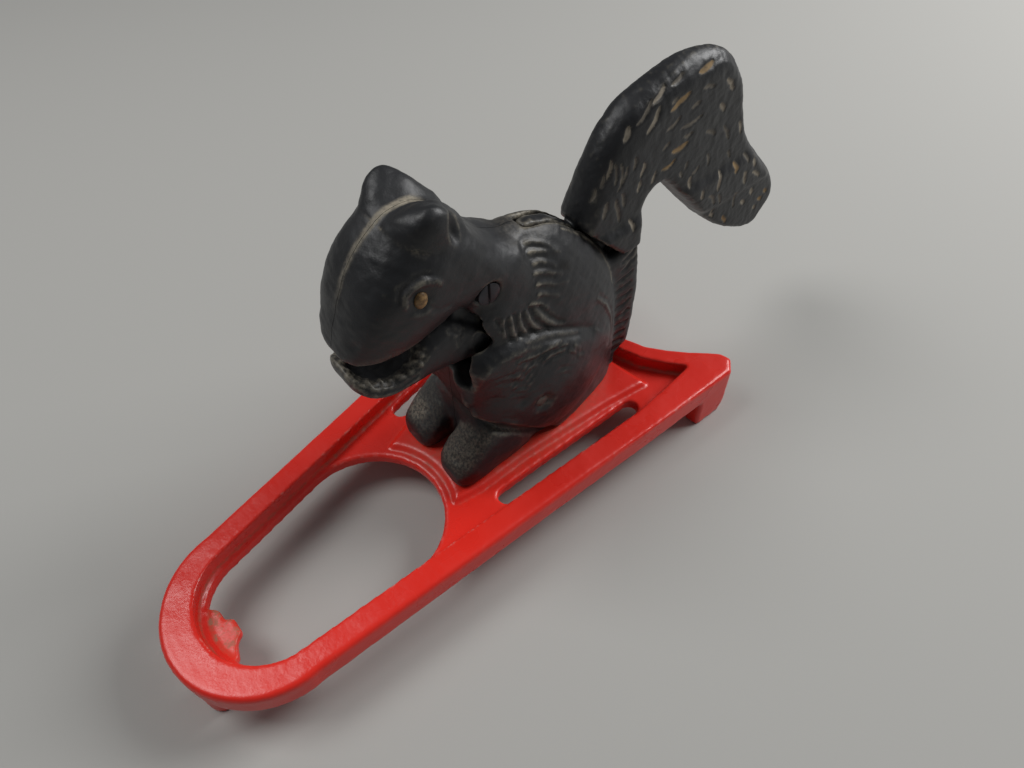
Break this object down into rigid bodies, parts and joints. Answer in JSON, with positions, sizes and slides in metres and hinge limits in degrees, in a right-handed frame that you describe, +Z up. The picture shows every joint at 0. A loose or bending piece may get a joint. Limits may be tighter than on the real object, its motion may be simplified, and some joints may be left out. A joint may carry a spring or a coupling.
{
  "type": "lever nutcracker press",
  "caption": "Cast squirrel-shaped nutcracker on a pierced foot plate: lifting the tail drops the lower jaw, pressing it down cracks a nut against the head",
  "frame": {"origin": "under the middle of the whole object's box, on the table", "axes": "+X from the plate's round end to its wide end and the tail, +Y to the figure's right side, +Z up"},
  "size_m": [0.2862, 0.1174, 0.1402],
  "materials": {
    "red_enamel": "glossy red enamel over a casting, worn pale at its edges",
    "black_iron": "satin black lacquer over fine casting grain, dusty in its grooves",
    "dark_steel": "darkened steel",
    "rivet_iron": "peened rivet end with worn lacquer"
  },
  "bodies": {
    "housing": {"base_casting": "red_enamel", "left_body_half": "black_iron", "right_body_half": "black_iron", "pivot_screw": "dark_steel", "pivot_nut": "dark_steel", "thigh_rivet": "rivet_iron", "base_screw": "dark_steel", "base_washer": "dark_steel", "trapped_nut": "dark_steel"},
    "lever": {"tail_jaw_lever": "black_iron"}
  },
  "joints": [
    {"name": "tail_lever_pivot", "type": "hinge", "parent": "housing", "child": "lever", "pos_m": [-0.01366, -0.00134, 0.102], "axis": [-0.1392, -0.9903, 0], "range_deg": [0, 30]}
  ]
}
